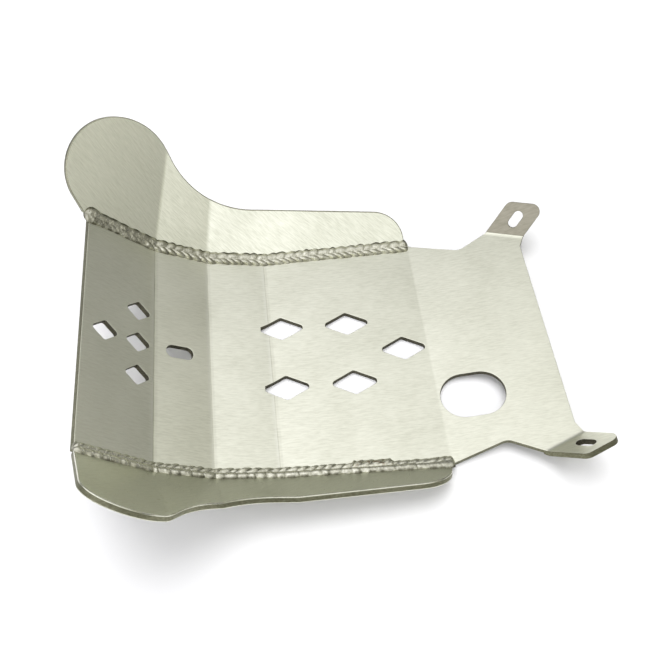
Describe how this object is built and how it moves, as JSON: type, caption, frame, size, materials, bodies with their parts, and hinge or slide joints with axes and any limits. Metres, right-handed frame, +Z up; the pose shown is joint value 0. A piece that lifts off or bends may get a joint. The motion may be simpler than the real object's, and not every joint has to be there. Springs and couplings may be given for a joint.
{
  "type": "motorcycle skid plate",
  "caption": "Folded aluminium skid plate with welded side wings, drain and access openings and bent-up rear mounting tabs, guarding an off-road engine from below.",
  "frame": {"origin": "on the flat belly's lower face, on the centreline, halfway between the belly's two creases", "axes": "+X towards the tail with the mounting tabs, +Y towards the rider's right, +Z up towards the engine"},
  "size_m": [0.3362, 0.2823, 0.111],
  "materials": {
    "plate_metal": "brushed, as cut, with linished edges",
    "wing_metal": "brushed, as cut, with linished edges",
    "weld_metal": "as welded, rippled and satin"
  },
  "bodies": {
    "root": {"main_plate": "plate_metal", "right_wing": "wing_metal", "left_wing": "wing_metal", "right_weld": "weld_metal", "left_weld": "weld_metal"}
  },
  "joints": []
}
